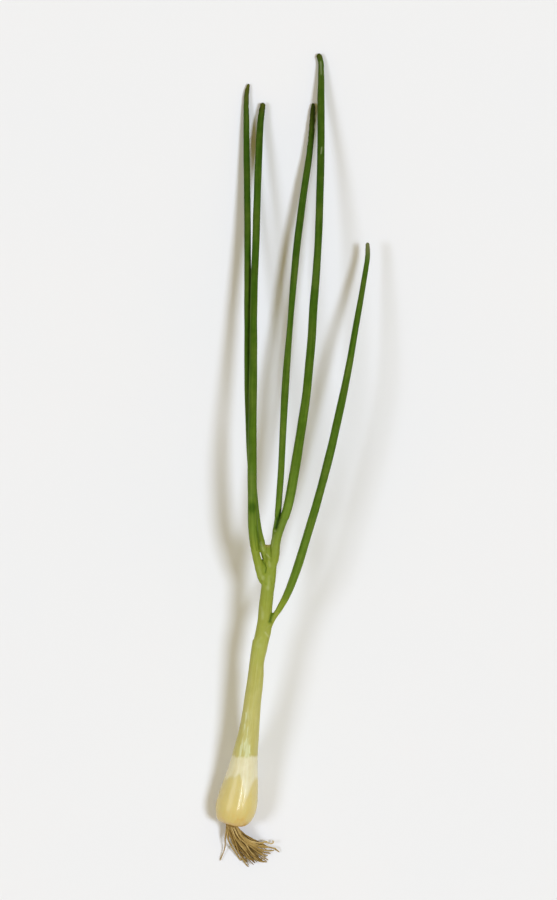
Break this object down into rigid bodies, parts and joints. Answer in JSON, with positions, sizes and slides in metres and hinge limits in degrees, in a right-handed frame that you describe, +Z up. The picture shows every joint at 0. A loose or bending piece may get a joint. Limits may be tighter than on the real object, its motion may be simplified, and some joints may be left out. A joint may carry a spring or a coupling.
{
  "type": "spring onion",
  "caption": "Spring onion lying on its side: round pale bulb with a root tuft, a slim stem that forks, and long tubular green leaves.",
  "frame": {"origin": "middle of the footprint, on the surface that the plant lies on", "axes": "+Y runs along the plant from the roots to the leaf tips, +X is to the right seen from above, +Z is up from the surface"},
  "size_m": [0.0766, 0.4052, 0.038],
  "materials": {
    "flesh": "moist skin, glossy on the bulb; cream at the foot, yellow-green up the stem",
    "leaf": "satin waxy leaf with fine lengthwise veins and brown tips",
    "root": "dry, matt, tan to brown"
  },
  "bodies": {
    "root": {"bulb_and_stem": "flesh", "leaf_left_front": "leaf", "leaf_left_back": "leaf", "leaf_inner_right": "leaf", "leaf_right": "leaf", "leaf_low_right": "leaf", "roots": "root"}
  },
  "joints": []
}
